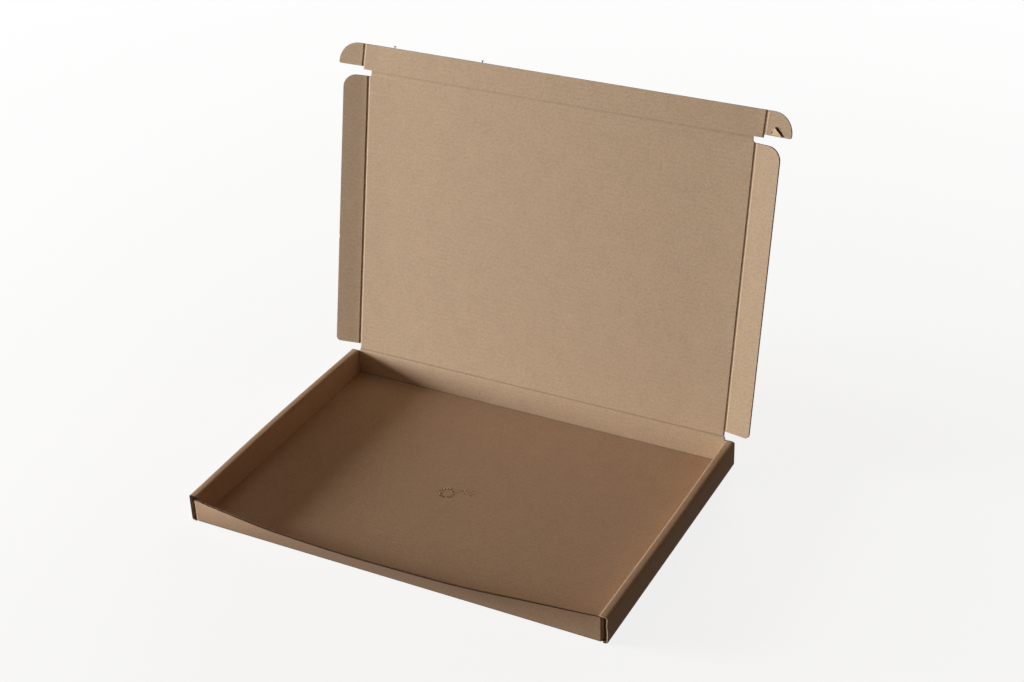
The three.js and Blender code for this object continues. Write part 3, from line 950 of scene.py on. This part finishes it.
def torn_ear():
    """The small triangular tongue of liner lifted off the right ear, and dark sheets of painted shade over the
    fluting that it leaves bare.
    """
    origin = TUCK_LINE + X_AXIS * EAR_CREASE
    outward, turned = turned_forward(1, TUCK_FACING, EAR_FORWARD)

    def on_ear(a, b, lift):
        return origin + outward * a + UP_TUCK * b + turned * (BOARD / 2 + lift)

    def across(first, last, share):
        return [f * (1 - share) + l * share for f, l in zip(first, last)]

    tongue = []
    for step in range(8):
        rise = step / 7
        left, right = across(TEAR_LEFT, TEAR_TIP, rise * 0.97), across(TEAR_RIGHT, TEAR_TIP, rise * 0.97)
        row = []
        for place in range(5):
            a, b = across(left, right, place / 4)
            curl = 0.5 * (place / 4) ** 2 * rise
            ragged = 0.12 * math.sin(7 * step + 3 * place)
            row.append(on_ear(a + ragged * (place == 4), b, 0.12 + TEAR_LIFT * rise**1.4 + curl))
        tongue.append(row)
    # The open wedge: a dark sheet of painted shade over the bared fluting
    wedge = []
    for step in range(8):
        share = step / 7
        left, right = across(TEAR_TIP, TEAR_RIGHT, share), across(TEAR_TIP, TEAR_OPEN, share)
        ragged = 0.15 * math.sin(5 * step)
        far = right[0] + 1.3 * (1 - share) + ragged
        wedge.append([on_ear(left[0] - 0.5, left[1], 0.06), on_ear(far, right[1] + 0.6, 0.06)])
    # The notch at the tongue's foot: a dark sheet of painted shade
    first, second, third, fourth = (on_ear(a, b, 0.05) for a, b in TEAR_NOTCH)
    return [
        thin_sheet("torn_tongue", tongue, turned, 0.22, split_liner),
        thin_sheet("torn_wedge_shade", wedge, turned, 0.05, painted_hole_shade),
        thin_sheet("torn_notch_shade", [[first, second], [fourth, third]], turned, 0.04, painted_hole_shade),
    ]


# The outline of a burr on the tuck flap's edge: heights over the edge and half widths, in mm
NICK = ((-0.6, 0.3), (0.5, 0.25), (1.1, 0.3), (1.15, 1.0), (1.5, 1.05), (1.75, 0.7))


def edge_nick(name, place):
    """A burr of paper left on the tuck flap's edge where the blank was held in its sheet: a T on a stalk."""
    rows = []
    for rise, half in NICK:
        slant = 0.2 * rise
        middle = TUCK_LINE + X_AXIS * (place + slant) + UP_TUCK * (TUCK_HEIGHT + rise)
        rows.append([middle - X_AXIS * half, middle + X_AXIS * half])
    return thin_sheet(name, rows, TUCK_FACING, 0.4, cut_paper)


# The right side wall's front end, down from its rolled top: across the box and up, in mm
PALE_EDGE = (
    (163.6, 22.2), (165.5, 22.4), (168.0, 22.2), (169.4, 21.2), (169.2, 15.0), (169.6, 8.0), (169.3, 0.8),
)


def pale_edge():
    """The split, fluffy cut edge at the right side wall's front end."""
    rows = []
    for i, (x, z) in enumerate(PALE_EDGE):
        before, after = PALE_EDGE[max(i - 1, 0)], PALE_EDGE[min(i + 1, len(PALE_EDGE) - 1)]
        run = np.array([after[0] - before[0], after[1] - before[1]])
        aside = np.array([run[1], -run[0]]) / np.linalg.norm(run) * (0.38 if i % 2 else 0.28)
        front = -SIDE_PANEL_END - 0.2
        rows.append([(x - aside[0], front, z - aside[1]), (x + aside[0], front, z + aside[1])])
    return thin_sheet("split_edge", rows, (0, -1, 0), 0.15, split_liner)


def pricked_tree():
    """Puts a pricked hole, a flat disc of painted shade, with a crumb of raised paper beside it on every point.
    """
    tree = bpy.data.node_groups.new("pricked mark", "GeometryNodeTree")
    tree.interface.new_socket("Places", in_out="INPUT", socket_type="NodeSocketGeometry")
    for name, kind, default in (
        ("Hole radius", "NodeSocketFloat", 0.62 * MM),
        ("Burr height", "NodeSocketFloat", 0.5 * MM),
        ("Seed", "NodeSocketInt", 7),
    ):
        tree.interface.new_socket(name, in_out="INPUT", socket_type=kind).default_value = default
    for socket in ("Hole", "Burr"):
        tree.interface.new_socket(socket, in_out="INPUT", socket_type="NodeSocketMaterial")
    tree.interface.new_socket("Mark", in_out="OUTPUT", socket_type="NodeSocketGeometry")
    given = add_node(tree, "NodeGroupInput").outputs
    # The hole: a flat disc of painted shade just over the floor
    hole = add_node(
        tree, "GeometryNodeMeshCircle", {"Vertices": 9, "Radius": given["Hole radius"]}, fill_type="NGON"
    ).outputs["Mesh"]
    inputs = {"Geometry": hole, "Translation": (0, 0, 0.03 * MM)}
    hole = add_node(tree, "GeometryNodeTransform", inputs).outputs[0]
    hole = add_node(tree, "GeometryNodeSetMaterial", {"Geometry": hole, "Material": given["Hole"]}).outputs[0]
    burr = add_node(
        tree, "GeometryNodeMeshIcoSphere", {"Radius": given["Burr height"], "Subdivisions": 2}
    ).outputs["Mesh"]
    burr = add_node(
        tree,
        "GeometryNodeTransform",
        {"Geometry": burr, "Translation": (0.95 * MM, 0, 0.1 * MM), "Scale": (0.8, 1.5, 0.9)},
    ).outputs[0]
    burr = add_node(tree, "GeometryNodeSetMaterial", {"Geometry": burr, "Material": given["Burr"]}).outputs[0]
    prick = add_node(tree, "GeometryNodeJoinGeometry")
    tree.links.new(hole, prick.inputs[0])
    tree.links.new(burr, prick.inputs[0])
    drawn = []
    for low, high in (((0, 0, -0.9), (0, 0, 0.9)), ((0.7, 0.7, 0.8), (1.15, 1.15, 1.1))):
        inputs = {0: low, 1: high, "Seed": given["Seed"]}
        drawn.append(add_node(tree, "FunctionNodeRandomValue", inputs, data_type="FLOAT_VECTOR").outputs[0])
    turn, size = drawn
    inputs = {"Points": given["Places"], "Instance": prick.outputs[0], "Rotation": turn, "Scale": size}
    placed = add_node(tree, "GeometryNodeInstanceOnPoints", inputs).outputs[0]
    real = add_node(tree, "GeometryNodeRealizeInstances", {"Geometry": placed}).outputs[0]
    add_node(tree, "NodeGroupOutput", {"Mark": real})
    return tree


# The pricked mark on the tray's floor, in mm: a plain ring and a wavy row, turned as the photograph shows
MARK_CENTRE = (-7.0, -6.5)
MARK_TURN = math.radians(24.5)
RING_CENTRE = -6.6
RING_RADIUS = 5.4
RING_PITCH = 2.3
WAVE_START = 1.6
WAVE_PITCH = 1.6
WAVE_HEIGHT = 3.6
WAVE_TURN = 0.85
WAVE_PRICKS = 9


def pricked_mark():
    """The mark's pricks, each at its spot on the tray's floor."""
    count = round(2 * math.pi * RING_RADIUS / RING_PITCH)
    turns = [2 * math.pi * i / count for i in range(count)]
    spots = [(RING_CENTRE + RING_RADIUS * math.cos(turn), RING_RADIUS * math.sin(turn)) for turn in turns]
    for i in range(WAVE_PRICKS):
        spots.append((WAVE_START + WAVE_PITCH * i, WAVE_HEIGHT * math.sin(WAVE_TURN * i)))
    points = []
    for along, up in spots:
        x = MARK_CENTRE[0] + along * math.cos(MARK_TURN) - up * math.sin(MARK_TURN)
        y = MARK_CENTRE[1] + along * math.sin(MARK_TURN) + up * math.cos(MARK_TURN)
        points.append((x * MM, y * MM, BOARD * MM))
    mesh = bpy.data.meshes.new("pricked_places")
    mesh.from_pydata(points, [], [])
    places = add_object("pricked_places", mesh)
    tree = pricked_tree()
    modifier = places.modifiers.new("pricks", "NODES")
    modifier.node_group = tree
    set_input(modifier, tree, "Hole", painted_hole_shade)
    set_input(modifier, tree, "Burr", split_liner)
    mark = add_object("pricked_mark", applied_mesh(places, "pricked_mark"))
    return mark


tear_pieces = torn_ear()
for scrap in tear_pieces:
    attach(scrap, "ear_right")

# Where the lifted tongue's tip stands off the ear, and the tongue's own copy of its mesh
_, tear_facing = turned_forward(1, TUCK_FACING, EAR_FORWARD)
tear_anchor = TUCK_LINE + X_AXIS * (EAR_CREASE + TEAR_TIP[0]) + UP_TUCK * TEAR_TIP[1]
tear_anchor = tear_anchor + tear_facing * BOARD * 0.62
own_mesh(tear_pieces[0])
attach(pale_edge(), "tray")
for name, place in (("edge_nick_left", -140.9), ("edge_nick_right", -63.6)):
    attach(edge_nick(name, place), "tuck")
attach(pricked_mark(), "tray")

floor_panel = tray_floor()
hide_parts("tray")
tray_pieces = [
    floor_panel,
    side_wall("side_wall_left", -1),
    side_wall("side_wall_right", 1),
    end_wall("front_fold_and_tabs", -1, FRONT_HEIGHT, part="rest"),
    end_wall("rear_wall", 1, FRONT_HEIGHT, HINGE_Z - CREASE_GAP),
]
for piece in tray_pieces:
    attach(piece, "tray")

# The bowed front wall, on the tray, with its own copy of its mesh
front_wall = end_wall("front_wall", -1, FRONT_HEIGHT, part="middle")
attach(front_wall, "tray")
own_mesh(front_wall)

for piece, node, body in (
    (lid_panel(), "lid_panel", "lid"),
    (tuck_flap(), "tuck_flap", "tuck"),
    (ear("ear_board_left", -1), "tuck_ear_left", "ear_left"),
    (ear("ear_board_right", 1), "tuck_ear_right", "ear_right"),
    (wing("wing_board_left", -1), "lid_wing_left", "wing_left"),
    (wing("wing_board_right", 1), "lid_wing_right", "wing_right"),
):
    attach(piece, body)
    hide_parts(node)

lid_edge = WING_CREASE - CREASE_GAP
crease(
    "hinge_crease",
    HINGE - X_AXIS * lid_edge,
    HINGE + X_AXIS * lid_edge,
    np.array([0.0, 0.0, -1.0]),
    UP_LID,
    np.array([0.0, -1.0, 0.0]),
    LID_FACING,
    shade_strength=0.7,
)
tuck_edge = lid_edge - RELIEF_DEPTH
crease(
    "tuck_crease",
    TUCK_LINE - X_AXIS * tuck_edge,
    TUCK_LINE + X_AXIS * tuck_edge,
    -UP_LID,
    UP_TUCK,
    LID_FACING,
    TUCK_FACING,
    shade_strength=0.35,
)
for side, word in ((-1, "left"), (1, "right")):
    wing_line = HINGE + X_AXIS * side * WING_CREASE
    ear_line = TUCK_LINE + X_AXIS * side * EAR_CREASE
    for kind, origin, upward, facing, angle, low, high, inner_body in (
        ("wing", wing_line, UP_LID, LID_FACING, WING_FORWARD, WING_FOOT, WING_HEAD, "lid"),
        ("ear", ear_line, UP_TUCK, TUCK_FACING, EAR_FORWARD, EAR_FOOT, TUCK_HEIGHT, "tuck"),
    ):
        outward, turned = turned_forward(side, facing, angle)
        crease(
            f"{kind}_crease_{word}",
            origin + upward * low,
            origin + upward * high,
            -X_AXIS * side,
            outward,
            facing,
            turned,
        )


# The floor and the light

FLOOR_REACH = 6.0
FLOOR_DROP = 0.2

# The floor as the camera sees it goes from mostly lit to plain white, over distances in metres from the box
FLOOR_FADE = {"From Min": 0.25, "From Max": 1.3, "To Min": 0.84, "To Max": 1.0}
FILL_COLOUR = (1.0, 0.55, 0.22, 1)
FILL_STRENGTH = 0.09

# Each lamp: the way to it from the box, its distance and its size in metres, and its power in watts
LAMPS = {
    "window": ((-0.931, -0.348, 0.112), 2.3, (0.9, 0.66), 92.0),
    "ceiling": ((-0.62, -0.30, 0.72), 3.0, (2.4, 2.4), 5.0),
    "far_wall": ((-0.05, 0.93, 0.35), 2.6, (1.6, 1.2), 24.0),
}
LAMPS_AIM = Vector((0, 0.05, 0.12))


def seen_directly(tree):
    """1 for rays from the camera, a reflection or through a clear thing, and 0 for light passed on."""
    rays = add_node(tree, "ShaderNodeLightPath").outputs
    seen = rays["Is Camera Ray"]
    for kind in ("Is Glossy Ray", "Is Transmission Ray"):
        seen = add_node(tree, "ShaderNodeMath", {0: seen, 1: rays[kind]}, operation="MAXIMUM").outputs[0]
    return seen


def make_stage():
    """A wide pale floor. It keeps the box's shadow, and gives back a dimmer, browner light than it shows."""
    mesh = bpy.data.meshes.new("studio_floor")
    corners = [(x * FLOOR_REACH, y * FLOOR_REACH, 0) for x, y in ((-1, -1), (1, -1), (1, 1), (-1, 1))]
    mesh.from_pydata(corners, [], [(0, 1, 2, 3)])
    floor = add_object("studio_floor", mesh)
    floor.location.z = -FLOOR_DROP * MM
    material, tree = new_material("white_studio_paper")
    seen = seen_directly(tree)
    lit = add_node(tree, "ShaderNodeBsdfDiffuse", {"Color": hex_colour("#ffffff")}).outputs[0]
    glow = add_node(tree, "ShaderNodeEmission", {"Color": (1, 1, 1, 1), "Strength": 1.0}).outputs[0]
    place = add_node(tree, "ShaderNodeTexCoord").outputs["Object"]
    away = add_node(tree, "ShaderNodeVectorMath", {0: place}, operation="LENGTH").outputs["Value"]
    share = add_node(tree, "ShaderNodeMapRange", {"Value": away, **FLOOR_FADE}).outputs["Result"]
    white = add_node(tree, "ShaderNodeMixShader", {0: share, 1: lit, 2: glow}).outputs[0]
    dim = add_node(tree, "ShaderNodeBsdfDiffuse", {"Color": hex_colour("#6a5c4c")}).outputs[0]
    mixed = add_node(tree, "ShaderNodeMixShader", {0: seen, 1: dim, 2: white}).outputs[0]
    add_node(tree, "ShaderNodeOutputMaterial", {"Surface": mixed})
    mesh.materials.append(material)


def make_light():
    """A low window from the left, a soft ceiling and a far wall, with a warm fill and a white background."""
    world = bpy.data.worlds.new("studio")
    bpy.context.scene.world = world
    world.use_nodes = True
    tree = world.node_tree
    tree.nodes.clear()
    fill = add_node(tree, "ShaderNodeBackground", {"Color": FILL_COLOUR, "Strength": FILL_STRENGTH}).outputs[0]
    white = add_node(tree, "ShaderNodeBackground", {"Color": (1, 1, 1, 1), "Strength": 1.0}).outputs[0]
    mixed = add_node(tree, "ShaderNodeMixShader", {0: seen_directly(tree), 1: fill, 2: white}).outputs[0]
    add_node(tree, "ShaderNodeOutputWorld", {"Surface": mixed})
    for name, (towards, distance, size, energy) in LAMPS.items():
        lamp = add_object(name, bpy.data.lights.new(name, "AREA"))
        lamp.data.shape = "RECTANGLE"
        lamp.data.size, lamp.data.size_y = size
        lamp.data.energy = energy
        direction = Vector(towards).normalized()
        lamp.location = LAMPS_AIM + direction * distance
        lamp.rotation_euler = direction.to_track_quat("Z", "Y").to_euler()


make_stage()
make_light()
bpy.context.scene.view_settings.view_transform = "Standard"
